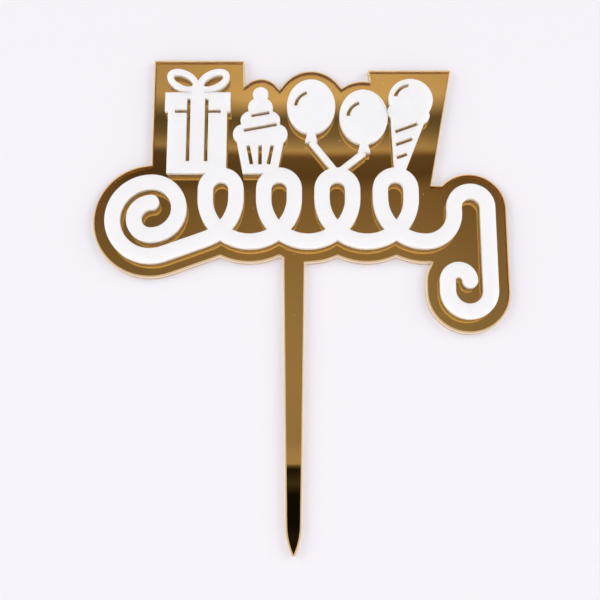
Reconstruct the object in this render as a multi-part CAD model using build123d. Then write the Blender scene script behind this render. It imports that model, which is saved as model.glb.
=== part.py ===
from build123d import *
import os
from math import asin, atan2, cos, degrees, hypot, radians, sin

# Layered cake topper, in millimetres: a tinted mirror sheet with its own stick, and a raised white sheet
# bonded to its face. The origin is the stick's tip, midway through the mirror sheet. +Z runs up the stick,
# +X to the right, and the show side faces -Y. Outlines are drawn flat as (x, z) and every piece is a sheet
# of its own thickness.

# Thickness of each layer, from front to back
OVERLAY_THICK = 2.0
BOND_THICK = 0.1
TINT_THICK = 1.8
MIRROR_THICK = 0.1
COAT_THICK = 0.1

# Cutting
MARGIN = 4.0            # tinted sheet left showing round the white sheet
BURN_BACK = 0.12        # mirror and paint stop this far inside the tinted sheet's cut edge
SLOT = 1.1              # width of a cut line in the white sheet
BRIDGE = 2.0            # white left standing at the ends of a cut line
JOIN = 1.8              # how far each figure is sunk into the streamer loop that carries it
TIGHTEST = 0.05         # a bend with a smaller inner radius than this is filled in

# Stick
STICK_LENGTH = 84.5     # tip to the lowest scallop over the stick
STICK_ROOT = 6.9        # width where it runs into the plate
STICK_NECK = 5.0        # width just above the point
POINT_LENGTH = 8.8
TIP_RADIUS = 0.8

# Looped streamer, measured to the middle of its ribbon
STROKE = 4.6            # width of the ribbon
LOOPS = 4
FIRST_LOOP_X = -22.0
LOOP_PITCH = 17.5
LOOP_RADIUS = 4.6
LOOP_RISE = 2.8         # straight side between a trough and a loop's top
CURL_X = -42.7          # middle of the curl at the left end
CURL_RADIUS = 11.5
CURL_STEP = 3.2         # how much each half turn of the curl draws in
CURL_DROP = 4.5         # how far the curl hangs below the troughs
TAIL_SWEEP = 8.6        # radius from the last trough up into the tail
TAIL_RISE = 2.0         # straight side between the sweep and the tail's shoulder
SHOULDER_RADIUS = 5.0
TAIL_RADIUS = 6.3       # round end of the hanging tail
TAIL_DROP = 15.0        # troughs down to the middle of that round end
HOOK_RADIUS = 3.3       # inner curl at the tail's end
HOOK_RISE = 3.0         # straight side between the round end and the inner curl
TAIL_BLOCK_RISE = 3.6   # top of the backing beside the tail over the shoulder's middle, less its margin

# Wrapped present
PRESENT_SHIFT = -7.5    # from the first loop's middle
PRESENT_WIDTH = 18.0
PRESENT_HEIGHT = 20.0
LID_OVERHANG = 1.0
LID_HEIGHT = 6.2
RIBBON_WIDTH = 4.4
BOW_LENGTH = 10.6
BOW_HEIGHT = 6.8
BOW_WALL = 2.0
BOW_TILT = 28.0
KNOT_RADIUS = 2.4
KNOT_RISE = 1.4

# Cupcake
CUPCAKE_SHIFT = -5.8    # from the second loop's middle
WRAPPER_FOOT = 10.4
WRAPPER_RIM = 14.4
WRAPPER_HEIGHT = 10.6
PLEATS = 3
PLEAT_PITCH = 3.1
PLEAT_LENGTH = 6.2
ICING_TIERS = 3
ICING_WIDTH = 16.6
ICING_HEIGHT = 6.2
ICING_SEAT = 2.0        # middle of the lowest tier over the wrapper's rim
ICING_STEP = 4.5        # each tier is this much narrower than the one below
ICING_RISE = 4.3
SWIRL_TILT = 11.0
CHERRY_RADIUS = 2.4
CHERRY_SEAT = 1.2       # middle of the cherry over the top tier

# Pair of balloons
BALLOON_WIDTH = 14.8
BALLOON_HEIGHT = 17.8
LEFT_BALLOON_SHIFT = -7.8   # from the third loop's middle, where the strings meet
LEFT_BALLOON_RISE = 21.6
RIGHT_BALLOON_SHIFT = 8.2
RIGHT_BALLOON_RISE = 18.2
NECK_WIDTH = 3.8
NECK_HEIGHT = 2.6
STRING_WIDTH = 1.9
SHINE_RADIUS = 4.7
SHINE_START = 105.0
SHINE_SWEEP = 72.0

# Ice-cream cone
CONE_SHIFT = 1.2        # from the last loop's middle
CONE_LEAN = 9.5
CONE_FOOT = 3.0
CONE_RIM = 11.8
CONE_HEIGHT = 20.6
CONE_BLOCK_SLANT = 10.5 # lean of the sides of the backing behind the cone
SCOOP_RADIUS = 6.8
SCOOP_RISE = 3.6        # middle of the scoop over the cone's rim
DRIPS = 3
DRIP_RADIUS = 2.2
DRIP_SEAT = 1.1         # middle of a drip below the cone's rim
DRIP_PITCH = 4.3
WAFER_LINES = 3
WAFER_START = 5.6       # first line over the cone's foot
WAFER_PITCH = 4.6
WAFER_TILT = 30.0

# Levels and places worked out from the sizes above
ribbon_half = STROKE / 2
trough_radius = LOOP_PITCH / 2 + LOOP_RADIUS
trough_z = STICK_LENGTH + MARGIN + ribbon_half
loop_side_z = trough_z + trough_radius
loop_top_z = loop_side_z + LOOP_RISE
row_z = loop_top_z + LOOP_RADIUS + ribbon_half - JOIN
loop_x = [FIRST_LOOP_X + LOOP_PITCH * i for i in range(LOOPS)]
last_trough_x = loop_x[-1] - LOOP_RADIUS + trough_radius
rise_x = last_trough_x + TAIL_SWEEP
sweep_z = trough_z + TAIL_SWEEP
shoulder_z = sweep_z + TAIL_RISE
present_x = loop_x[0] + PRESENT_SHIFT
lid_z = row_z + PRESENT_HEIGHT
lid_width = PRESENT_WIDTH + 2 * LID_OVERHANG
knot_z = lid_z + LID_HEIGHT + KNOT_RISE
cupcake_x = loop_x[1] + CUPCAKE_SHIFT
tie_x = loop_x[2]
balloon_spots = [
    (tie_x + LEFT_BALLOON_SHIFT, row_z + LEFT_BALLOON_RISE),
    (tie_x + RIGHT_BALLOON_SHIFT, row_z + RIGHT_BALLOON_RISE),
]
cone_x = loop_x[-1] + CONE_SHIFT
scoop_z = CONE_HEIGHT + SCOOP_RISE
plate_thick = TINT_THICK + MIRROR_THICK + COAT_THICK


def place(x, z, turn=0.0):
    """A spot on the flat drawing, with a turn in degrees."""
    return Pos(x, z) * Rot(0, 0, turn)


def straight(x0, z0, x1, z1, half):
    """Ribbon of the given half width from one point to another."""
    turn = degrees(atan2(z1 - z0, x1 - x0))
    return place((x0 + x1) / 2, (z0 + z1) / 2, turn) * Rectangle(hypot(x1 - x0, z1 - z0), 2 * half)


def bend(x, z, radius, start, sweep, half):
    """Ribbon round part of a circle, or a whole sector where the ribbon fills the bend."""
    outer = CenterArc((x, z), radius + half, start, sweep)
    if radius - half < TIGHTEST:
        return make_face([outer, Line(outer @ 1, (x, z)), Line((x, z), outer @ 0)])
    inner = CenterArc((x, z), radius - half, start, sweep)
    return make_face([outer, Line(outer @ 1, inner @ 1), inner, Line(inner @ 0, outer @ 0)])


def tapered(foot, rim, height, grow):
    """Upright trapezium standing on the origin, larger by grow on every side."""
    low, high, top = foot / 2 + grow, rim / 2 + grow, height + grow
    return make_face(Polyline((-low, -grow), (low, -grow), (high, top), (-high, top), close=True))


def streamer(grow):
    """Ribbon with a curl at its left end, a row of loops and a hanging tail."""
    half = ribbon_half + grow
    pieces = curl(half) + tail(half)
    for x in loop_x:
        pieces.append(bend(x, loop_top_z, LOOP_RADIUS, 0, 180, half))
        for side in (-LOOP_RADIUS, LOOP_RADIUS):
            pieces.append(straight(x + side, loop_side_z, x + side, loop_top_z, half))
    for x in loop_x[:-1]:
        pieces.append(bend(x - LOOP_RADIUS + trough_radius, loop_side_z, trough_radius, 180, 180, half))
    return pieces


def curl(half):
    """Left end of the ribbon: three half turns, then a straight run that touches the first trough."""
    curl_z = trough_z - CURL_DROP + CURL_RADIUS
    second, third = CURL_RADIUS - CURL_STEP, CURL_RADIUS - 2 * CURL_STEP
    trough_x = loop_x[0] + LOOP_RADIUS - trough_radius
    across, up = trough_x - CURL_X, loop_side_z - curl_z
    slope = atan2(up, across) + asin((CURL_RADIUS - trough_radius) / hypot(across, up))
    out_x, out_z = sin(slope), -cos(slope)
    climb = degrees(slope)
    return [
        place(CURL_X, curl_z + third) * Circle(half),
        bend(CURL_X, curl_z, third, 90, 180, half),
        bend(CURL_X, curl_z + CURL_STEP, second, -90, 180, half),
        bend(CURL_X, curl_z, CURL_RADIUS, 90, 180 + climb, half),
        straight(
            CURL_X + CURL_RADIUS * out_x,
            curl_z + CURL_RADIUS * out_z,
            trough_x + trough_radius * out_x,
            loop_side_z + trough_radius * out_z,
            half,
        ),
        bend(trough_x, loop_side_z, trough_radius, 270 + climb, 90 - climb, half),
    ]


def tail(half):
    """Right end of the ribbon: up from the last trough, over a shoulder and down into a hooked end."""
    fall_x = rise_x + 2 * SHOULDER_RADIUS
    low_z = trough_z - TAIL_DROP
    turn_x = fall_x - 2 * TAIL_RADIUS
    hook_x, hook_z = turn_x + HOOK_RADIUS, low_z + HOOK_RISE
    return [
        bend(last_trough_x, loop_side_z, trough_radius, 180, 90, half),
        bend(last_trough_x, sweep_z, TAIL_SWEEP, 270, 90, half),
        straight(rise_x, sweep_z, rise_x, shoulder_z, half),
        bend(rise_x + SHOULDER_RADIUS, shoulder_z, SHOULDER_RADIUS, 0, 180, half),
        straight(fall_x, low_z, fall_x, shoulder_z, half),
        bend(fall_x - TAIL_RADIUS, low_z, TAIL_RADIUS, 180, 180, half),
        straight(turn_x, low_z, turn_x, hook_z, half),
        bend(hook_x, hook_z, HOOK_RADIUS, 0, 180, half),
        place(hook_x + HOOK_RADIUS, hook_z) * Circle(half),
    ]


def bow(long_radius, short_radius):
    """Two leaning ovals, left and right of the knot."""
    reach = BOW_LENGTH / 2
    lean = radians(BOW_TILT)
    return [
        place(present_x + side * reach * cos(lean), knot_z + reach * sin(lean), side * BOW_TILT)
        * Ellipse(long_radius, short_radius)
        for side in (-1, 1)
    ]


def present(grow):
    """Box with an overhanging lid and a two-loop bow."""
    body = Rectangle(PRESENT_WIDTH + 2 * grow, PRESENT_HEIGHT + 2 * grow)
    lid = Rectangle(lid_width + 2 * grow, LID_HEIGHT + 2 * grow)
    return bow(BOW_LENGTH / 2 + grow, BOW_HEIGHT / 2 + grow) + [
        place(present_x, row_z + PRESENT_HEIGHT / 2) * body,
        place(present_x, lid_z + LID_HEIGHT / 2) * lid,
        place(present_x, knot_z) * Circle(KNOT_RADIUS + grow),
    ]


def present_cuts():
    """Ribbon edges, the seam under the lid and the openings of the bow."""
    low, high = row_z + JOIN + BRIDGE, lid_z + LID_HEIGHT - BRIDGE
    cuts = bow(BOW_LENGTH / 2 - BOW_WALL, BOW_HEIGHT / 2 - BOW_WALL)
    for side in (-1, 1):
        edge_x = present_x + side * (RIBBON_WIDTH + SLOT) / 2
        seam_x = present_x + side * (PRESENT_WIDTH / 2 - BRIDGE)
        cuts.append(straight(edge_x, low, edge_x, high, SLOT / 2))
        cuts.append(straight(edge_x, lid_z, seam_x, lid_z, SLOT / 2))
    return cuts


def present_block(grow):
    """Flat-topped backing that takes in the present and its bow."""
    top = max(oval.bounding_box().max.Y for oval in bow(BOW_LENGTH / 2 + grow, BOW_HEIGHT / 2 + grow))
    return place(present_x, (row_z + top) / 2) * Rectangle(lid_width + 2 * grow, top - row_z)


def icing(tier):
    """Width of a tier of icing and the level of its middle."""
    return ICING_WIDTH - ICING_STEP * tier, row_z + WRAPPER_HEIGHT + ICING_SEAT + ICING_RISE * tier


def cupcake(grow):
    """Pleated wrapper, piled icing and a cherry."""
    pieces = [place(cupcake_x, row_z) * tapered(WRAPPER_FOOT, WRAPPER_RIM, WRAPPER_HEIGHT, grow)]
    for tier in range(ICING_TIERS):
        width, z = icing(tier)
        pieces.append(place(cupcake_x, z) * SlotOverall(width + 2 * grow, ICING_HEIGHT + 2 * grow))
    cherry_z = z + ICING_HEIGHT / 2 + CHERRY_SEAT
    return pieces + [place(cupcake_x, cherry_z) * Circle(CHERRY_RADIUS + grow)]


def cupcake_cuts():
    """Fanned pleats in the wrapper and a slanted line under each upper tier."""
    flank = degrees(atan2((WRAPPER_RIM - WRAPPER_FOOT) / 2, WRAPPER_HEIGHT))
    pleat_z = row_z + JOIN + (BRIDGE + PLEAT_LENGTH) / 2
    cuts = []
    for pleat in range(PLEATS):
        step = pleat - (PLEATS - 1) / 2
        spot = place(cupcake_x + step * PLEAT_PITCH, pleat_z, 90 - flank * step)
        cuts.append(spot * Rectangle(PLEAT_LENGTH, SLOT))
    for tier in range(1, ICING_TIERS):
        width, z = icing(tier)
        cuts.append(place(cupcake_x, z - ICING_RISE / 2, SWIRL_TILT) * Rectangle(width - BRIDGE, SLOT))
    return cuts


def balloon(x, z, grow):
    """Balloon with a flared neck and a string down to the loop that both balloons share."""
    neck_z = z - BALLOON_HEIGHT / 2 - NECK_HEIGHT
    return [
        place(x, z) * Ellipse(BALLOON_WIDTH / 2 + grow, BALLOON_HEIGHT / 2 + grow),
        place(x, neck_z) * tapered(NECK_WIDTH, STRING_WIDTH, NECK_HEIGHT + STRING_WIDTH / 2, grow),
        straight(x, neck_z, tie_x, row_z, STRING_WIDTH / 2 + grow),
    ]


def shine():
    """Curved highlight line round the origin."""
    return bend(0, 0, SHINE_RADIUS, SHINE_START, SHINE_SWEEP, SLOT / 2)


def ice_cream(grow):
    """Wafer cone that leans to the right, with one scoop that drips over its rim."""
    pieces = [
        tapered(CONE_FOOT, CONE_RIM, CONE_HEIGHT, grow),
        Pos(0, scoop_z) * Circle(SCOOP_RADIUS + grow),
    ]
    for drip in range(DRIPS):
        step = drip - (DRIPS - 1) / 2
        pieces.append(Pos(step * DRIP_PITCH, CONE_HEIGHT - DRIP_SEAT) * Circle(DRIP_RADIUS + grow))
    return [place(cone_x, row_z, -CONE_LEAN) * piece for piece in pieces]


def ice_cream_cuts():
    """Slanted wafer lines and a highlight on the scoop."""
    cuts = [Pos(0, scoop_z) * shine()]
    for line in range(WAFER_LINES):
        z = WAFER_START + WAFER_PITCH * line
        width = CONE_FOOT + (CONE_RIM - CONE_FOOT) * z / CONE_HEIGHT
        cuts.append(place(0, z, WAFER_TILT) * Rectangle(width - BRIDGE, SLOT))
    return [place(cone_x, row_z, -CONE_LEAN) * cut for cut in cuts]


def cone_block(grow):
    """Flat-topped backing whose slanted sides touch the scoop's margin."""
    lean, slant = radians(CONE_LEAN), radians(CONE_BLOCK_SLANT)
    x, z = cone_x + scoop_z * sin(lean), row_z + scoop_z * cos(lean)
    half = SCOOP_RADIUS + grow
    high = half * (1 + sin(slant)) / cos(slant)
    low = (half - (z - loop_side_z) * sin(slant)) / cos(slant)
    corners = [(x - high, z + half), (x + high, z + half), (x + low, loop_side_z), (x - low, loop_side_z)]
    return make_face(Polyline(*corners, close=True))


def tail_block(grow):
    """Flat-topped backing that closes the gap between the cone's backing and the tail."""
    top = shoulder_z + TAIL_BLOCK_RISE + grow
    middle = ((loop_x[-1] + rise_x) / 2, (trough_z + top) / 2)
    return place(*middle) * Rectangle(rise_x - loop_x[-1], top - trough_z)


def figures(grow):
    """Everything that the white sheet shows, larger by grow all round."""
    balloons = [piece for x, z in balloon_spots for piece in balloon(x, z, grow)]
    return streamer(grow) + present(grow) + cupcake(grow) + balloons + ice_cream(grow)


def stick(inset):
    """Tapered stick with a rounded ogive point, smaller by inset all round."""
    neck, root = STICK_NECK / 2, STICK_ROOT / 2 - inset
    rise = POINT_LENGTH - TIP_RADIUS
    ogive = (neck**2 + rise**2 - TIP_RADIUS**2) / (2 * (neck - TIP_RADIUS))
    turn = degrees(atan2(rise, ogive - neck))
    right = CenterArc((neck - ogive, POINT_LENGTH), ogive - inset, -turn, turn)
    left = CenterArc((ogive - neck, POINT_LENGTH), ogive - inset, 180, turn)
    tip = CenterArc((0, TIP_RADIUS), TIP_RADIUS - inset, 180 + turn, 180 - 2 * turn)
    shaft = Polyline(right @ 1, (root, trough_z), (-root, trough_z), left @ 0)
    return make_face([right, tip, left] + shaft.edges())


def white_outline():
    """White sheet: the figures joined in one, less their cut lines."""
    shines = [place(x, z) * shine() for x, z in balloon_spots]
    return Sketch() + figures(0) - (present_cuts() + cupcake_cuts() + shines + ice_cream_cuts())


def plate_outline(inset):
    """Plate and stick in one: the figures' outer contour with its margin, smaller by inset all round."""
    grow = MARGIN - inset
    blocks = [present_block(grow), cone_block(grow), tail_block(grow)]
    contour = Sketch() + figures(grow) + blocks + [stick(inset)]
    return make_face(contour.face().outer_wire())


def sheet(outline, back, thick):
    """Flat sheet of the given outline, whose rear face lies at y = back."""
    return extrude(Plane.XZ.offset(-back) * outline, amount=thick, dir=(0, -1, 0))


def build():
    """All layers, stacked from the back."""
    plate, backing, white = plate_outline(0), plate_outline(BURN_BACK), white_outline()
    layers = [
        ("back_coat", backing, COAT_THICK),
        ("mirror_film", backing, MIRROR_THICK),
        ("tinted_sheet", plate, TINT_THICK),
        ("bond_film", white, BOND_THICK),
        ("white_overlay", white, OVERLAY_THICK),
    ]
    pieces = {}
    back = plate_thick / 2
    for name, outline, thick in layers:
        pieces[name] = sheet(outline, back, thick)
        back -= thick
    return pieces


os.makedirs("parts", exist_ok=True)
for name, solid in build().items():
    export_step(solid, f"parts/{name}.step")
    box = solid.bounding_box()
    print(name, "solids", len(solid.solids()), "low", box.min, "high", box.max)
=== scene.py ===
import math

import bpy
from bpy.props import FloatProperty, FloatVectorProperty, IntProperty, PointerProperty
from bpy.types import NodeSocket, Operator, Panel, PropertyGroup
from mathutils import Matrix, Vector


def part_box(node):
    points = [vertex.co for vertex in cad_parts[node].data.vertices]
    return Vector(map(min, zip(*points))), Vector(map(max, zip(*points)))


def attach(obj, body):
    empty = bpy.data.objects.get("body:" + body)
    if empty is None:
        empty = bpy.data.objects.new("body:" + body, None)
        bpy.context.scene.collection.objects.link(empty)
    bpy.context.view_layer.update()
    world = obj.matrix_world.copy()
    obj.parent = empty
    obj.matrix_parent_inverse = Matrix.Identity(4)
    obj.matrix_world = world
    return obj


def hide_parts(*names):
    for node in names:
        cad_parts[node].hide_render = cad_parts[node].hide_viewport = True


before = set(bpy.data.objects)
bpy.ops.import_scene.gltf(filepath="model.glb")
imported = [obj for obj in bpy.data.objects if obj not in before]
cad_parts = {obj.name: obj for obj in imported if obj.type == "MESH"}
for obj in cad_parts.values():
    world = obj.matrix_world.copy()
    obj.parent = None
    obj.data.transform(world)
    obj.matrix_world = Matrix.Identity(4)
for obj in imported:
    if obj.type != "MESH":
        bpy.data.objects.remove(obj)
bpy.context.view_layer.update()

bl_info = {
    "name": "Layered cake topper",
    "version": (1, 0, 0),
    "blender": (4, 5, 0),
    "location": "View3D > Sidebar > Topper",
    "description": "Dresses a gold mirror cake topper with a raised white layer",
    "category": "Object",
}

MM = 0.001
BODY = "root"

FRONT, BACK = -1, 1             # which way a sheet's front and back look along Y
MERGE_REACH = 0.004 * MM        # corners of the same point on neighbouring faces
FACING = 0.985                  # least share of a normal that counts as facing front or back
WALL = 0.2                      # most that a cut wall's normal leans to the front or back
SHARP = math.radians(40)        # a corner that turns more than this stays sharp
FLAT = math.radians(0.5)        # faces that turn less than this are one flat face
LARGE_FACES = 100               # shading weight at which the large faces stay flat

QUARTER_TURN = math.radians(90)
LEVEL = (0, 0, 0)
UPRIGHT = (QUARTER_TURN, 0, 0)          # stands a plane up to face the front
SHINE_UP = (2 * QUARTER_TURN, 0, 0)     # turns a lamp that shines down to shine up

USUAL_NOISE = (0.3, 0.7)        # range that soft noise mostly keeps to
HAIRLINE_PEAK = (0.74, 0.82)    # noise from which a hairline starts, and at which it is full
# The rim's haze share also sets where its colour runs to the painted dark gold reflection.
FROST_EDGE = (-0.9, -0.5)       # normal's Y where the rim's haze starts, and where it is full
UNIT_PLANE = (-0.5, 0.5)        # span of a plane's own coordinates
WHITE_DUST = 0.72               # shade of the dust on the white sheet
SCUFFED = 1.7                   # shade of the scuffs on the back paint
CAMERA_CLIP = 10 * MM           # nothing nearer to the camera is drawn

front_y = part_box("tinted_sheet")[0].y
foot_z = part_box("tinted_sheet")[0].z
back_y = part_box("back_coat")[1].y


# Settings

class TOPPER_PG_sizes(PropertyGroup):
    """Sizes of the fine work that the solids leave out."""

    white_round: FloatProperty(
        name="White rim", description="Rounding of the white layer's polished rim",
        default=0.14 * MM, min=0, unit="LENGTH", precision=5,
    )
    plate_round: FloatProperty(
        name="Plate rim", description="Rounding of the tinted sheet's front rim",
        default=0.68 * MM, min=0, unit="LENGTH", precision=5,
    )
    plate_back_round: FloatProperty(
        name="Plate back rim", description="Rounding of the tinted sheet's back rim",
        default=0.09 * MM, min=0, unit="LENGTH", precision=5,
    )
    rim_steps: IntProperty(
        name="Rim steps", description="Faces across each rounded rim", default=3, min=1,
    )
    mirror_seat: FloatProperty(
        name="Mirror seat", description="How far the mirror is bonded into the sheet's back",
        default=0.01 * MM, min=0, unit="LENGTH", precision=6,
    )
    bond_relief: FloatProperty(
        name="Film relief", description="Air left on each side of the adhesive film",
        default=0.01 * MM, min=0, unit="LENGTH", precision=6,
    )


class TOPPER_PG_finish(PropertyGroup):
    """Colours and polish of the materials."""

    white: FloatVectorProperty(
        name="White acrylic", description="Colour of the raised layer",
        default=(0.955, 0.938, 0.98), size=3, min=0, max=1, subtype="COLOR",
    )
    # Painted light: the cream stands in for the warm light that the gold mirror throws on the cut walls.
    white_cut_painted_warmth: FloatVectorProperty(
        name="White cut edge", description="Colour of the raised layer's cut walls",
        default=(0.98, 0.88, 0.75), size=3, min=0, max=1, subtype="COLOR",
    )
    frost: FloatVectorProperty(
        name="Frosted rim", description="Colour of the haze that the cut leaves on the plate's rim",
        default=(0.88, 0.77, 0.63), size=3, min=0, max=1, subtype="COLOR",
    )
    # Painted reflection: this dark gold stands in for the gold mirror seen through the thinning haze.
    thin_frost_painted_reflection: FloatVectorProperty(
        name="Thin frost", description="Colour of that haze where it runs out towards the face",
        default=(0.55, 0.38, 0.18), size=3, min=0, max=1, subtype="COLOR",
    )
    tint: FloatVectorProperty(
        name="Gold tint", description="Light that crosses the tinted sheet once",
        default=(0.97, 0.82, 0.58), size=3, min=0, max=1, subtype="COLOR",
    )
    dust: FloatVectorProperty(
        name="Dust", description="Colour of the specks of dust on the tinted sheet",
        default=(0.80, 0.70, 0.52), size=3, min=0, max=1, subtype="COLOR",
    )
    mirror: FloatVectorProperty(
        name="Mirror", description="Colour of the metal layer behind the tint",
        default=(0.72, 0.455, 0.126), size=3, min=0, max=1, subtype="COLOR",
    )
    paint: FloatVectorProperty(
        name="Back paint", description="Colour of the paint behind the mirror",
        default=(0.30, 0.27, 0.235), size=3, min=0, max=1, subtype="COLOR",
    )
    glue: FloatVectorProperty(
        name="Adhesive", description="Colour of the clear adhesive film",
        default=(0.86, 0.84, 0.78), size=3, min=0, max=1, subtype="COLOR",
    )
    glow_reach: FloatProperty(
        name="Glow reach", description="How far light spreads inside the white sheet",
        default=2 * MM, min=0, unit="LENGTH", precision=5,
    )
    back_glow_reach: FloatProperty(
        name="Back glow reach", description="How far light spreads to the white sheet's bonded back",
        default=9 * MM, min=0, unit="LENGTH", precision=5,
    )
    acrylic_ior: FloatProperty(
        name="Acrylic IOR", description="Refractive index of cast acrylic", default=1.49, min=1,
    )
    glue_ior: FloatProperty(
        name="Adhesive IOR", description="Refractive index of the adhesive film", default=1.47, min=1,
    )


class TOPPER_PG_stage(PropertyGroup):
    """Camera, pale paper, and the flag and card that only the gold shows."""

    lens: FloatProperty(name="Lens", description="Focal length", default=60, unit="CAMERA")
    camera_x: FloatProperty(
        name="Camera across", description="Camera to the right of the stick",
        default=1.8 * MM, unit="LENGTH",
    )
    camera_z: FloatProperty(
        name="Camera height", description="Camera above the stick's tip",
        default=7.33 * MM, unit="LENGTH",
    )
    camera_reach: FloatProperty(
        name="Camera distance", description="Camera in front of the plate's face",
        default=286.8 * MM, unit="LENGTH",
    )
    camera_tilt: FloatProperty(
        name="Camera tilt", description="How far the camera looks up",
        default=math.radians(12.95), subtype="ANGLE",
    )
    paper: FloatVectorProperty(
        name="Paper", description="Colour of the pale backdrop and floor",
        default=(0.925, 0.900, 0.942), size=3, min=0, max=1, subtype="COLOR",
    )
    paper_size: FloatProperty(
        name="Paper size", description="Width of the backdrop and floor", default=6.0, unit="LENGTH",
    )
    backdrop_gap: FloatProperty(
        name="Backdrop gap", description="Backdrop behind the painted back",
        default=0.05 * MM, unit="LENGTH", precision=5,
    )
    backdrop_glow: FloatProperty(
        name="Backdrop glow", description="Share of the backdrop that shows its own colour in any light",
        default=0.15, min=0, max=1, subtype="FACTOR",
    )
    floor_drop: FloatProperty(
        name="Floor drop", description="Floor below the stick's tip", default=12 * MM, unit="LENGTH",
    )
    floor_glow: FloatProperty(
        name="Floor glow", description="Share of the floor that shows its own colour in any light",
        default=0.3, min=0, max=1, subtype="FACTOR",
    )
    floor_bounce: FloatProperty(
        name="Floor bounce", description="Light that the pale floor throws up", default=1.15, min=0,
    )
    flag_reach: FloatProperty(
        name="Flag distance", description="Dark flag in front of the plate's face",
        default=60 * MM, unit="LENGTH",
    )
    flag_mark: FloatProperty(
        name="Dark end", description="Height on the stick up to which it mirrors the dark flag",
        default=25.5 * MM, unit="LENGTH",
    )
    flag_width: FloatProperty(
        name="Flag width", description="Width of the dark flag", default=24 * MM, unit="LENGTH",
    )
    card_tone: FloatProperty(
        name="Card tone", description="Brightness of the grey card in front",
        default=0.6, min=0, max=1, subtype="FACTOR",
    )
    card_start: FloatProperty(
        name="Card distance", description="Grey card in front of the plate's face",
        default=120 * MM, unit="LENGTH",
    )
    card_length: FloatProperty(
        name="Card length", description="Length of the grey card away from the plate",
        default=700 * MM, unit="LENGTH",
    )
    card_width: FloatProperty(
        name="Card width", description="Width of the grey card", default=320 * MM, unit="LENGTH",
    )
    card_lift: FloatProperty(
        name="Card lift", description="Height of the grey card over the floor",
        default=1 * MM, unit="LENGTH",
    )


class TOPPER_PG_lights(PropertyGroup):
    """Soft studio light."""

    ambient: FloatProperty(
        name="Ambient", description="Soft light from the front and sides", default=0.41, min=0,
    )
    spread: FloatProperty(
        name="Spread", description="Apparent width of each distant light",
        default=math.radians(40), subtype="ANGLE",
    )
    side: FloatProperty(
        name="Side lights", description="Strength of each of the two side lights", default=0.95, min=0,
    )
    side_turn: FloatProperty(
        name="Side turn", description="Angle of the side lights from straight ahead",
        default=math.radians(58), subtype="ANGLE",
    )
    side_rise: FloatProperty(
        name="Side rise", description="Height of the side lights over the horizon",
        default=math.radians(18), subtype="ANGLE",
    )
    back: FloatProperty(
        name="Back light", description="Strength of the light behind the object", default=1.4, min=0,
    )
    back_turn: FloatProperty(
        name="Back turn", description="Angle of the back light from straight ahead",
        default=math.radians(160), subtype="ANGLE",
    )
    back_rise: FloatProperty(
        name="Back rise", description="Height of the back light over the horizon",
        default=math.radians(35), subtype="ANGLE",
    )
    top: FloatProperty(
        name="Top light", description="Strength of the light from above on the plate's rim",
        default=1.2, min=0,
    )
    top_rise: FloatProperty(
        name="Top rise", description="Height of the top light over the horizon",
        default=math.radians(65), subtype="ANGLE",
    )
    low: FloatProperty(
        name="Low light", description="Power of the light that shines up on the white sheet's cut walls",
        default=0.03, min=0, unit="POWER", precision=4,
    )
    low_size: FloatVectorProperty(
        name="Low light size", description="Width and depth of the low light",
        default=(300 * MM, 60 * MM), size=2, unit="LENGTH",
    )
    low_reach: FloatProperty(
        name="Low light distance", description="Middle of the low light in front of the plate's face",
        default=42 * MM, unit="LENGTH",
    )
    low_lift: FloatProperty(
        name="Low light lift", description="Height of the low light over the floor",
        default=1 * MM, unit="LENGTH",
    )
    low_spread: FloatProperty(
        name="Low light spread", description="Full angle that the low light shines into",
        default=math.radians(80), subtype="ANGLE",
    )


# Share of the soft light by elevation in degrees: broad boxes at the front and sides
SOFT_BOXES = [
    (0.0, 0.85),
    (45.0, 1.0),
    (75.0, 1.0),
]

# Brightness of the studio by elevation in degrees: strip lights between dark gaps, as the gold mirrors them
STUDIO_STRIPS = [
    (0.0, 0.52),
    (4.1, 0.51),
    (5.0, 0.40),
    (8.4, 0.44),
    (11.8, 0.40),
    (15.5, 0.36),
    (19.0, 0.26),
    (20.0, 0.13),
    (21.1, 0.17),
    (21.5, 0.60),
    (22.3, 0.25),
    (23.1, 0.15),
    (24.3, 0.86),
    (25.4, 0.80),
]

# Share of that brightness by degrees to the right of straight ahead: the strips fade towards their ends
STRIP_ENDS = [
    (-24.0, 1.0),
    (-15.0, 0.64),
    (-9.5, 0.70),
    (-5.0, 0.90),
    (-1.0, 1.0),
    (6.0, 1.0),
    (10.0, 0.83),
    (15.0, 0.78),
    (24.0, 1.0),
]

# How far the strips take on the warm tone of the room, by elevation in degrees
STRIP_TONE = (1.0, 1.0, 1.0)
ROOM_TONE = (1.0, 0.84, 0.70)
ROOM_WARMTH = [
    (12.5, 0.0),
    (15.5, 0.4),
    (17.5, 0.6),
    (19.0, 0.8),
    (20.0, 1.0),
    (21.1, 1.0),
    (21.5, 0.0),
]

# Brightness that the dark flag shows in any light by height, from its foot at 0 to its top at 1, with a
# painted highlight on a fold near the top
FLAG_PAINTED_TONES = [
    (0.0, 0.012),
    (0.40, 0.018),
    (0.50, 0.008),
    (0.76, 0.008),
    (0.81, 0.036),
    (0.845, 0.062),
    (0.89, 0.042),
    (0.95, 0.016),
    (0.97, 0.030),
    (1.0, 0.24),
]


# Modelling

def only(piece):
    """Makes a piece the one selected and active object."""
    bpy.ops.object.select_all(action="DESELECT")
    piece.select_set(True)
    bpy.context.view_layer.objects.active = piece


def merged_copy(node, name):
    """Copy of a node's solid with the corners of its faces joined."""
    piece = bpy.data.objects.new(name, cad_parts[node].data.copy())
    bpy.context.scene.collection.objects.link(piece)
    piece.data.materials.clear()
    only(piece)
    bpy.ops.mesh.customdata_custom_splitnormals_clear()
    bpy.ops.object.mode_set(mode="EDIT")
    bpy.ops.mesh.select_all(action="SELECT")
    bpy.ops.mesh.remove_doubles(threshold=MERGE_REACH)
    bpy.ops.object.mode_set(mode="OBJECT")
    return piece


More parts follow.
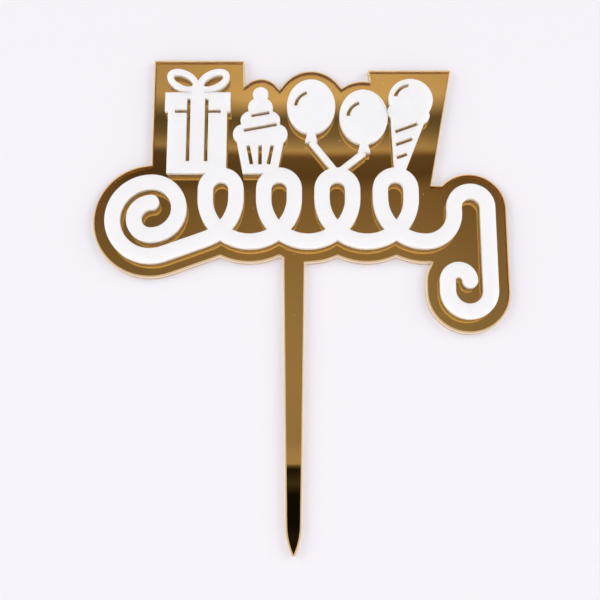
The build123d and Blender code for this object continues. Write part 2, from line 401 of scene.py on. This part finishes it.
def select_faces(piece, wanted):
    """Enters edit mode with just the faces selected whose normal passes the test."""
    only(piece)
    bpy.ops.object.mode_set(mode="EDIT")
    bpy.ops.mesh.select_mode(type="FACE")
    bpy.ops.mesh.select_all(action="DESELECT")
    bpy.ops.object.mode_set(mode="OBJECT")
    for face in piece.data.polygons:
        face.select = wanted(face.normal)
    bpy.ops.object.mode_set(mode="EDIT")


def round_rim(piece, side, width, steps):
    """Rounds the rim of a sheet's front or back in steps of a quarter circle."""
    select_faces(piece, lambda normal: normal.y * side > FACING)
    bpy.ops.mesh.dissolve_limited(angle_limit=FLAT)
    bpy.ops.transform.translate(value=(0, -side * width, 0))
    turns = [QUARTER_TURN * step / steps for step in range(steps + 1)]
    for start, end in zip(turns, turns[1:]):
        inward = width * (math.cos(start) - math.cos(end))
        outward = width * (math.sin(end) - math.sin(start))
        bpy.ops.mesh.inset(thickness=inward, depth=outward, use_even_offset=False)
    bpy.ops.object.mode_set(mode="OBJECT")


def smooth_walls(piece):
    """Smooth shading round the walls and rims, with the large faces kept flat and true corners sharp."""
    only(piece)
    bpy.ops.object.shade_smooth_by_angle(angle=SHARP)
    weigh = piece.modifiers.new("flat_faces", "WEIGHTED_NORMAL")
    weigh.mode = "FACE_AREA"
    weigh.weight = LARGE_FACES
    weigh.keep_sharp = True
    bpy.ops.object.modifier_apply(modifier=weigh.name)


def wear(piece, face_finish, wall_finish=None, rim_finish=None, back_finish=None):
    """Gives a piece its finish, and its cut walls, rounded front rim and back their own where they differ."""
    piece.data.materials.append(face_finish)
    others = [
        (wall_finish, lambda normal: abs(normal.y) < WALL),
        (rim_finish, lambda normal: -FACING <= normal.y <= -WALL),
        (back_finish, lambda normal: normal.y > FACING),
    ]
    for finish, wanted in others:
        if finish is None:
            continue
        piece.data.materials.append(finish)
        select_faces(piece, wanted)
        piece.active_material_index = len(piece.data.materials) - 1
        bpy.ops.object.material_slot_assign()
        bpy.ops.object.mode_set(mode="OBJECT")


def seat(piece, node):
    """Rides a finished piece on the body in place of its node."""
    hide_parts(node)
    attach(piece, BODY)


# Shader nodes

def add(tree, kind, inputs=None, **settings):
    """Adds a node, with its settings, and its inputs set to values or linked to sockets."""
    made = tree.nodes.new("ShaderNode" + kind)
    for name, value in settings.items():
        setattr(made, name, value)
    for name, value in (inputs or {}).items():
        if isinstance(value, NodeSocket):
            tree.links.new(value, made.inputs[name])
        else:
            made.inputs[name].default_value = value
    return made


def maths(tree, operation, *values):
    """Result of an operation on values or sockets."""
    return add(tree, "Math", dict(enumerate(values)), operation=operation).outputs["Value"]


def axes(tree, vector):
    """Parts of a vector along X, Y and Z."""
    return add(tree, "SeparateXYZ", {"Vector": vector}).outputs


def own_coords(tree):
    """Place on the piece, in its own coordinates."""
    return add(tree, "TexCoord").outputs["Object"]


def sheet_coords(tree):
    """Across and up the sheet as a flat pair, so that a pattern runs straight through its thickness."""
    spot = axes(tree, own_coords(tree))
    return add(tree, "CombineXYZ", {"X": spot["X"], "Y": spot["Z"]}).outputs["Vector"]


def spread(tree, value, to, usual=USUAL_NOISE):
    """Maps a value's usual range to another, held at both ends."""
    made = add(tree, "MapRange", {
        "Value": value, "From Min": usual[0], "From Max": usual[1], "To Min": to[0], "To Max": to[1],
    })
    return made.outputs["Result"]


def by_level(tree, value, levels):
    """Grey that runs through the given levels as the value rises."""
    low, high = levels[0][0], levels[-1][0]
    ramp = add(tree, "ValToRGB", {"Fac": spread(tree, value, to=(0, 1), usual=(low, high))})
    stops = ramp.color_ramp.elements
    while len(stops) < len(levels):
        stops.new(1.0)
    for stop, (level, grey) in zip(stops, levels):
        stop.position = (level - low) / (high - low)
        stop.color = (grey, grey, grey, 1)
    return ramp.outputs["Color"]


def noise(tree, coords, size, detail=2.0):
    """Soft noise with features of about the given size."""
    made = add(
        tree, "TexNoise", {"Vector": coords, "Scale": 1 / size, "Detail": detail}, noise_dimensions="2D",
    )
    return made.outputs["Fac"]


def specks(tree, coords, spacing, radius, share):
    """Sparse dust: one round speck in a share of the cells of the given spacing."""
    cells = add(tree, "TexVoronoi", {"Vector": coords, "Scale": 1 / spacing}, voronoi_dimensions="2D")
    near = maths(tree, "LESS_THAN", cells.outputs["Distance"], radius / spacing)
    draw = add(tree, "SeparateColor", {"Color": cells.outputs["Color"]})
    kept = maths(tree, "LESS_THAN", draw.outputs["Red"], share)
    return maths(tree, "MULTIPLY", near, kept)


def hairlines(tree, coords, turn, length, gap, strength):
    """Thin straight scratches that run one way, from nothing up to the given strength."""
    turned = add(tree, "Mapping", {
        "Vector": coords, "Rotation": (0, 0, turn), "Scale": (1 / length, 1 / gap, 1),
    })
    lines = noise(tree, turned.outputs["Vector"], size=1, detail=0)
    return spread(tree, lines, to=(0, strength), usual=HAIRLINE_PEAK)


def bump(tree, height, depth):
    """Normal of a surface with the given height pattern, depth in metres."""
    return add(tree, "Bump", {"Height": height, "Distance": depth}).outputs["Normal"]


def shaded(tone, factor):
    """A tone made lighter or darker."""
    return tuple(min(1.0, channel * factor) for channel in tone)


def two_tone(tree, share, first, second):
    """Colour that runs from the first to the second, each a tone or a socket, as the share grows."""
    first, second = (
        tone if isinstance(tone, NodeSocket) else (*tone, 1) for tone in (first, second)
    )
    made = add(tree, "Mix", {"Factor": share, "A": first, "B": second}, data_type="RGBA")
    return made.outputs["Result"]


def mottled(tree, pattern, tone, shades):
    """A tone that a pattern varies between two shades of it."""
    first, second = (shaded(tone, shade) for shade in shades)
    return two_tone(tree, spread(tree, pattern, to=(0, 1)), first, second)


def blank_material(name):
    """New material, and its empty node tree."""
    material = bpy.data.materials.new(name)
    material.use_nodes = True
    material.node_tree.nodes.clear()
    return material, material.node_tree


def show(material, shader):
    """Material with the shader at its output."""
    add(material.node_tree, "OutputMaterial", {"Surface": shader})
    return material


def surface(material, inputs):
    """Material with a plain surface that has the given inputs."""
    return show(material, add(material.node_tree, "BsdfPrincipled", inputs).outputs["BSDF"])


def glow(tree, tone, strength=1.0):
    """Shader that shows a tone, or a socket's colour, in any light."""
    tone = tone if isinstance(tone, NodeSocket) else (*tone, 1)
    return add(tree, "Emission", {"Color": tone, "Strength": strength}).outputs["Emission"]


def mix_shaders(tree, share, first, second):
    """Shader that goes from the first to the second as the share grows."""
    return add(tree, "MixShader", {0: share, 1: first, 2: second}).outputs["Shader"]


# Finishes

def light_inside(reach):
    """Inputs of an opaque sheet in which light of any colour spreads as far as the given reach."""
    return {"Subsurface Weight": 1.0, "Subsurface Radius": (1, 1, 1), "Subsurface Scale": reach}


def white_face_finish(look):
    """Polished opaque white sheet with faint smudges, hairlines and a little dust."""
    material, tree = blank_material("white_acrylic_face")
    flat = sheet_coords(tree)
    tone = mottled(tree, noise(tree, flat, size=22 * MM), look.white, shades=(0.985, 1.01))
    dust = specks(tree, flat, spacing=9 * MM, radius=0.13 * MM, share=0.22)
    smudge = spread(tree, noise(tree, flat, size=6 * MM, detail=4), to=(0.06, 0.16))
    scratch = hairlines(tree, flat, turn=0.5, length=14 * MM, gap=0.25 * MM, strength=0.18)
    return surface(material, {
        "Base Color": two_tone(tree, dust, tone, shaded(look.white, WHITE_DUST)),
        "Roughness": maths(tree, "ADD", smudge, scratch),
        "IOR": look.acrylic_ior,
        "Normal": bump(tree, noise(tree, flat, size=18 * MM), depth=0.02 * MM),
        **light_inside(look.glow_reach),
    })


def white_back_painted_light_finish(look):
    """Bonded back of the white sheet, which the light reaches through the sheet, coloured a lighter copy of
    the white as painted light for that.
    """
    material, tree = blank_material("white_acrylic_back_painted_light")
    cloud = noise(tree, sheet_coords(tree), size=22 * MM)
    return surface(material, {
        # Painted light: shades above one make the colour a lighter copy of the white.
        "Base Color": mottled(tree, cloud, look.white, shades=(1.02, 1.05)),
        "Roughness": 0.3,
        "IOR": look.acrylic_ior,
        **light_inside(look.back_glow_reach),
    })


def white_cut_finish(look):
    """Laser-cut white wall, satin, with fine lines straight through the sheet, its cream colour painted warm
    light from the gold mirror.
    """
    material, tree = blank_material("white_acrylic_cut_painted_warmth")
    lines = noise(tree, sheet_coords(tree), size=0.16 * MM, detail=3)
    return surface(material, {
        # The cream base colour is painted warm light from the gold mirror.
        "Base Color": mottled(tree, lines, look.white_cut_painted_warmth, shades=(0.95, 1.0)),
        "Roughness": spread(tree, lines, to=(0.22, 0.4)),
        "IOR": look.acrylic_ior,
        "Normal": bump(tree, lines, depth=0.012 * MM),
        **light_inside(look.glow_reach),
    })


def tinted_face_finish(look):
    """Polished gold-tinted clear sheet with a few hairlines and specks of dust."""
    material, tree = blank_material("gold_tint_face")
    flat = sheet_coords(tree)
    dust = specks(tree, flat, spacing=13 * MM, radius=0.09 * MM, share=0.3)
    scratch = hairlines(tree, flat, turn=-0.35, length=18 * MM, gap=0.22 * MM, strength=0.05)
    return surface(material, {
        "Base Color": two_tone(tree, dust, look.tint, look.dust),
        "Roughness": maths(tree, "MAXIMUM", dust, scratch),
        "IOR": look.acrylic_ior,
        "Transmission Weight": maths(tree, "SUBTRACT", 1.0, dust),
    })


def frosted_rim_finish(look):
    """Rounded rim of the tinted sheet, hazed pale by the cut, with the haze running out towards the face,
    where a painted dark gold reflection stands in for the mirror seen through it.
    """
    material, tree = blank_material("gold_tint_rim")
    lines = noise(tree, sheet_coords(tree), size=0.25 * MM, detail=3)
    facing = axes(tree, add(tree, "NewGeometry").outputs["Normal"])["Y"]
    haze = spread(tree, facing, to=(0, 1), usual=FROST_EDGE)
    return surface(material, {
        # Towards the face the colour runs to the painted reflection of the gold mirror behind the thin haze.
        "Base Color": two_tone(tree, haze, look.thin_frost_painted_reflection, look.frost),
        "Roughness": spread(tree, lines, to=(0.3, 0.45)),
        "IOR": look.acrylic_ior,
        "Normal": bump(tree, lines, depth=0.01 * MM),
    })


def tinted_cut_finish(look):
    """Laser-cut wall of the tinted sheet: frosted, with fine lines straight through it."""
    material, tree = blank_material("gold_tint_cut")
    lines = noise(tree, sheet_coords(tree), size=0.2 * MM, detail=3)
    return surface(material, {
        "Base Color": (*look.tint, 1),
        "Roughness": spread(tree, lines, to=(0.85, 1.0)),
        "IOR": look.acrylic_ior,
        "Transmission Weight": 0.9,
        "Normal": bump(tree, lines, depth=0.006 * MM),
    })


def mirror_finish(look):
    """Metal mirror, very slightly wavy as on a cast sheet."""
    material, tree = blank_material("gold_mirror")
    flat = sheet_coords(tree)
    return surface(material, {
        "Base Color": mottled(tree, noise(tree, flat, size=30 * MM), look.mirror, shades=(0.97, 1.02)),
        "Metallic": 1.0,
        "Roughness": spread(tree, noise(tree, flat, size=4 * MM, detail=3), to=(0.01, 0.025)),
        "Normal": bump(tree, noise(tree, flat, size=26 * MM, detail=1), depth=0.03 * MM),
    })


def paint_finish(look):
    """Sprayed satin paint with a fine orange-peel grain, thin patches and scuffs."""
    material, tree = blank_material("back_paint")
    flat = sheet_coords(tree)
    grain = noise(tree, flat, size=0.5 * MM, detail=4)
    tone = mottled(tree, noise(tree, flat, size=14 * MM, detail=3), look.paint, shades=(0.9, 1.1))
    scuff = hairlines(tree, flat, turn=0.9, length=22 * MM, gap=0.3 * MM, strength=0.25)
    return surface(material, {
        "Base Color": two_tone(tree, scuff, tone, shaded(look.paint, SCUFFED)),
        "Roughness": spread(tree, grain, to=(0.38, 0.55)),
        "Normal": bump(tree, grain, depth=0.02 * MM),
    })


def glue_finish(look):
    """Clear adhesive film, faintly hazed."""
    material, tree = blank_material("adhesive_film")
    haze = noise(tree, sheet_coords(tree), size=2 * MM, detail=3)
    return surface(material, {
        "Base Color": mottled(tree, haze, look.glue, shades=(1.0, 0.94)),
        "Roughness": spread(tree, haze, to=(0.05, 0.15)),
        "Transmission Weight": 0.95,
        "IOR": look.glue_ior,
    })


# Stage

def seen_rays(tree):
    """One for rays that show a surface to the eye: straight, mirrored or through glass."""
    light = add(tree, "LightPath").outputs
    direct = maths(tree, "MAXIMUM", light["Is Camera Ray"], light["Is Glossy Ray"])
    seen = maths(tree, "MAXIMUM", direct, light["Is Transmission Ray"])
    unscattered = maths(tree, "LESS_THAN", light["Diffuse Depth"], 1)
    return maths(tree, "MULTIPLY", seen, unscattered)


def paper_shader(tree, tone, own_light):
    """Pale paper that keeps the object's shadow."""
    matte = add(tree, "BsdfDiffuse", {"Color": (*tone, 1)}).outputs["BSDF"]
    return mix_shaders(tree, maths(tree, "MULTIPLY", seen_rays(tree), own_light), matte, glow(tree, tone))


def backdrop_finish(stage):
    """Pale paper that shows its front only."""
    material, tree = blank_material("backdrop_paper")
    behind = add(tree, "NewGeometry").outputs["Backfacing"]
    paper = paper_shader(tree, stage.paper, stage.backdrop_glow)
    clear = add(tree, "BsdfTransparent").outputs["BSDF"]
    return show(material, mix_shaders(tree, behind, paper, clear))


def floor_finish(stage):
    """Pale paper that throws an even light up on the object."""
    material, tree = blank_material("floor_paper")
    bounce = glow(tree, stage.paper, stage.floor_bounce)
    paper = paper_shader(tree, stage.paper, stage.floor_glow)
    return show(material, mix_shaders(tree, seen_rays(tree), bounce, paper))


def flag_finish():
    """Black cloth that glows a set brightness by height in any light, with a painted highlight on a fold."""
    material, tree = blank_material("flag_painted_glow")
    height = spread(tree, axes(tree, own_coords(tree))["Y"], to=(0, 1), usual=UNIT_PLANE)
    return show(material, glow(tree, by_level(tree, height, FLAG_PAINTED_TONES)))


def card_finish(stage):
    """Grey card that glows its set tone in any light, painted light for a lit matte card, faintly uneven in
    patches of about a fifth of its size.
    """
    material, tree = blank_material("grey_card_painted_glow")
    grey = (stage.card_tone, stage.card_tone, stage.card_tone)
    patch = noise(tree, own_coords(tree), size=0.2)
    # Painted light: the card's brightness is an emission, not light it reflects.
    return show(material, glow(tree, mottled(tree, patch, grey, shades=(0.95, 1.05))))


def floor_level(stage):
    """Height of the floor."""
    return foot_z - stage.floor_drop


def plane(name, centre, turn, size, finish):
    """Flat stage piece of the given size and finish."""
    bpy.ops.mesh.primitive_plane_add(size=1, location=centre, rotation=turn)
    made = bpy.context.object
    made.name = name
    made.scale = (*size, 1)
    made.data.materials.append(finish)
    return made


def lay_paper(stage):
    """Pale backdrop close behind the object and a pale floor below it."""
    size = (stage.paper_size, stage.paper_size)
    behind = (0, back_y + stage.backdrop_gap, 0)
    below = (0, 0, floor_level(stage))
    backdrop = plane("backdrop", behind, UPRIGHT, size, backdrop_finish(stage))
    backdrop.visible_shadow = False
    plane("floor", below, LEVEL, size, floor_finish(stage))


def stand_cards(stage):
    """Dark flag and grey card in front of the plate, for the gold to mirror."""
    floor_z = floor_level(stage)
    slope = (stage.flag_mark - stage.camera_z) / stage.camera_reach
    flag_top = stage.flag_mark + slope * stage.flag_reach
    flag = plane(
        "dark_flag", (0, front_y - stage.flag_reach, (flag_top + floor_z) / 2), UPRIGHT,
        (stage.flag_width, flag_top - floor_z), flag_finish(),
    )
    card_y = front_y - stage.card_start - stage.card_length / 2
    card = plane(
        "grey_card", (0, card_y, floor_z + stage.card_lift), LEVEL,
        (stage.card_width, stage.card_length), card_finish(stage),
    )
    for mirrored in (flag, card):
        mirrored.visible_camera = False
        mirrored.visible_diffuse = False
        mirrored.visible_shadow = False


def studio_world(stage, lights):
    """Pale to the eye, even for soft light, and banded by height where it is mirrored."""
    world = bpy.data.worlds.new("studio")
    world.use_nodes = True
    tree = world.node_tree
    tree.nodes.clear()
    aim = axes(tree, add(tree, "TexCoord").outputs["Generated"])
    rise = maths(tree, "DEGREES", maths(tree, "ARCSINE", aim["Z"]))
    ahead = maths(tree, "MULTIPLY", aim["Y"], FRONT)
    turn = maths(tree, "DEGREES", maths(tree, "ARCTAN2", aim["X"], ahead))
    strips = maths(tree, "MULTIPLY", by_level(tree, rise, STUDIO_STRIPS), by_level(tree, turn, STRIP_ENDS))
    tone = two_tone(tree, by_level(tree, rise, ROOM_WARMTH), STRIP_TONE, ROOM_TONE)
    soft, bands, pale = (
        add(tree, "Background", {"Color": colour, "Strength": strength}).outputs["Background"]
        for colour, strength in (
            (by_level(tree, rise, SOFT_BOXES), lights.ambient),
            (tone, strips),
            ((*stage.paper, 1), 1.0),
        )
    )
    indirect = mix_shaders(tree, seen_rays(tree), soft, bands)
    straight = add(tree, "LightPath").outputs["Is Camera Ray"]
    add(tree, "OutputWorld", {"Surface": mix_shaders(tree, straight, indirect, pale)})
    bpy.context.scene.world = world


def distant_light(name, strength, spread_angle, turn, rise):
    """Broad soft light, turn measured from straight ahead to the right."""
    bpy.ops.object.light_add(type="SUN")
    lamp = bpy.context.object
    lamp.name = name
    lamp.data.energy = strength
    lamp.data.angle = spread_angle
    toward = Vector((math.sin(turn) * math.cos(rise), -math.cos(turn) * math.cos(rise), math.sin(rise)))
    lamp.rotation_euler = toward.to_track_quat("Z", "Y").to_euler()
    return lamp


def floor_light(name, lights, height):
    """Soft strip near the floor that shines straight up and isn't seen itself."""
    place = (0, front_y - lights.low_reach, height)
    bpy.ops.object.light_add(type="AREA", location=place, rotation=SHINE_UP)
    lamp = bpy.context.object
    lamp.name = name
    lamp.data.energy = lights.low
    lamp.data.shape = "RECTANGLE"
    lamp.data.size, lamp.data.size_y = lights.low_size
    lamp.data.spread = lights.low_spread
    lamp.visible_camera = False
    lamp.visible_glossy = False
    lamp.visible_transmission = False
    return lamp


def light_only(lamp, piece):
    """Flags a lamp off everything but one piece."""
    lit = bpy.data.collections.new("lit_by_" + lamp.name)
    lit.objects.link(bpy.data.objects[piece])
    lamp.light_linking.receiver_collection = lit


def set_lights(stage, lights):
    """Side lights and a back light for everything, and a low and a top light for one sheet each."""
    for name, side in (("left_light", -1), ("right_light", 1)):
        distant_light(name, lights.side, lights.spread, side * lights.side_turn, lights.side_rise)
    low = floor_light("low_light", lights, floor_level(stage) + lights.low_lift)
    light_only(low, "white_layer")
    distant_light("back_light", lights.back, lights.spread, lights.back_turn, lights.back_rise)
    top = distant_light("top_light", lights.top, lights.spread, turn=0, rise=lights.top_rise)
    light_only(top, "tinted_plate")


def set_camera(stage):
    """Camera at the photograph's viewing angle."""
    bpy.ops.object.camera_add(
        location=(stage.camera_x, front_y - stage.camera_reach, stage.camera_z),
        rotation=(QUARTER_TURN + stage.camera_tilt, 0, 0),
    )
    camera = bpy.context.object
    camera.name = "camera"
    camera.data.lens = stage.lens
    camera.data.clip_start = CAMERA_CLIP
    bpy.context.scene.camera = camera


# Operators

class TOPPER_OT_white_layer(Operator):
    """Raised white layer with a softly rounded front rim"""

    bl_idname = "topper.white_layer"
    bl_label = "White layer"

    def execute(self, context):
        sizes, look = context.scene.topper_sizes, context.scene.topper_finish
        piece = merged_copy("white_overlay", "white_layer")
        round_rim(piece, FRONT, sizes.white_round, sizes.rim_steps)
        smooth_walls(piece)
        wear(piece, white_face_finish(look), white_cut_finish(look), back_finish=white_back_painted_light_finish(look))
        seat(piece, "white_overlay")
        return {"FINISHED"}


class TOPPER_OT_adhesive(Operator):
    """Thin adhesive film between the two sheets"""

    bl_idname = "topper.adhesive"
    bl_label = "Adhesive film"

    def execute(self, context):
        sizes, look = context.scene.topper_sizes, context.scene.topper_finish
        piece = merged_copy("bond_film", "adhesive")
        low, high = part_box("bond_film")
        keep = 1 - 2 * sizes.bond_relief / (high.y - low.y)
        select_faces(piece, lambda normal: True)
        bpy.ops.transform.resize(value=(1, keep, 1), center_override=(low + high) / 2)
        bpy.ops.object.mode_set(mode="OBJECT")
        wear(piece, glue_finish(look))
        seat(piece, "bond_film")
        return {"FINISHED"}


class TOPPER_OT_tinted_plate(Operator):
    """Gold-tinted plate and stick with fine rounded rims"""

    bl_idname = "topper.tinted_plate"
    bl_label = "Tinted plate"

    def execute(self, context):
        sizes, look = context.scene.topper_sizes, context.scene.topper_finish
        piece = merged_copy("tinted_sheet", "tinted_plate")
        round_rim(piece, FRONT, sizes.plate_round, sizes.rim_steps)
        round_rim(piece, BACK, sizes.plate_back_round, sizes.rim_steps)
        smooth_walls(piece)
        wear(piece, tinted_face_finish(look), tinted_cut_finish(look), frosted_rim_finish(look))
        seat(piece, "tinted_sheet")
        return {"FINISHED"}


class TOPPER_OT_mirror(Operator):
    """Mirror layer bonded to the plate's back"""

    bl_idname = "topper.mirror"
    bl_label = "Mirror layer"

    def execute(self, context):
        sizes, look = context.scene.topper_sizes, context.scene.topper_finish
        piece = merged_copy("mirror_film", "mirror_layer")
        select_faces(piece, lambda normal: True)
        bpy.ops.transform.translate(value=(0, -sizes.mirror_seat, 0))
        bpy.ops.object.mode_set(mode="OBJECT")
        wear(piece, mirror_finish(look))
        seat(piece, "mirror_film")
        return {"FINISHED"}


class TOPPER_OT_back_paint(Operator):
    """Protective paint behind the mirror"""

    bl_idname = "topper.back_paint"
    bl_label = "Back paint"

    def execute(self, context):
        piece = merged_copy("back_coat", "paint_layer")
        wear(piece, paint_finish(context.scene.topper_finish))
        seat(piece, "back_coat")
        return {"FINISHED"}


class TOPPER_OT_stage(Operator):
    """Pale floor and backdrop, studio light and camera"""

    bl_idname = "topper.stage"
    bl_label = "Stage"

    def execute(self, context):
        stage, lights = context.scene.topper_stage, context.scene.topper_lights
        bpy.ops.object.select_all(action="DESELECT")
        lay_paper(stage)
        stand_cards(stage)
        studio_world(stage, lights)
        set_lights(stage, lights)
        set_camera(stage)
        context.scene.view_settings.view_transform = "Standard"
        return {"FINISHED"}


GROUPS = {
    "topper_sizes": TOPPER_PG_sizes,
    "topper_finish": TOPPER_PG_finish,
    "topper_stage": TOPPER_PG_stage,
    "topper_lights": TOPPER_PG_lights,
}
OPERATORS = (
    TOPPER_OT_white_layer,
    TOPPER_OT_adhesive,
    TOPPER_OT_tinted_plate,
    TOPPER_OT_mirror,
    TOPPER_OT_back_paint,
    TOPPER_OT_stage,
)


class TOPPER_PT_panel(Panel):
    """Pieces, sizes and finishes of the topper"""

    bl_idname = "TOPPER_PT_panel"
    bl_label = "Cake topper"
    bl_space_type = "VIEW_3D"
    bl_region_type = "UI"
    bl_category = "Topper"

    def draw(self, context):
        for operator in OPERATORS:
            self.layout.operator(operator.bl_idname)
        for name, group in GROUPS.items():
            for setting in group.__annotations__:
                self.layout.prop(getattr(context.scene, name), setting)


CLASSES = (*GROUPS.values(), *OPERATORS, TOPPER_PT_panel)


def register():
    """Adds the classes, and the settings to every scene."""
    for made in CLASSES:
        bpy.utils.register_class(made)
    for name, group in GROUPS.items():
        setattr(bpy.types.Scene, name, PointerProperty(type=group))


def unregister():
    """Takes the settings and the classes away again."""
    for name in GROUPS:
        delattr(bpy.types.Scene, name)
    for made in reversed(CLASSES):
        bpy.utils.unregister_class(made)


def main():
    """Builds the topper and its stage."""
    register()
    bpy.ops.topper.white_layer()
    bpy.ops.topper.adhesive()
    bpy.ops.topper.tinted_plate()
    bpy.ops.topper.mirror()
    bpy.ops.topper.back_paint()
    bpy.ops.topper.stage()


if __name__ == "__main__":
    main()
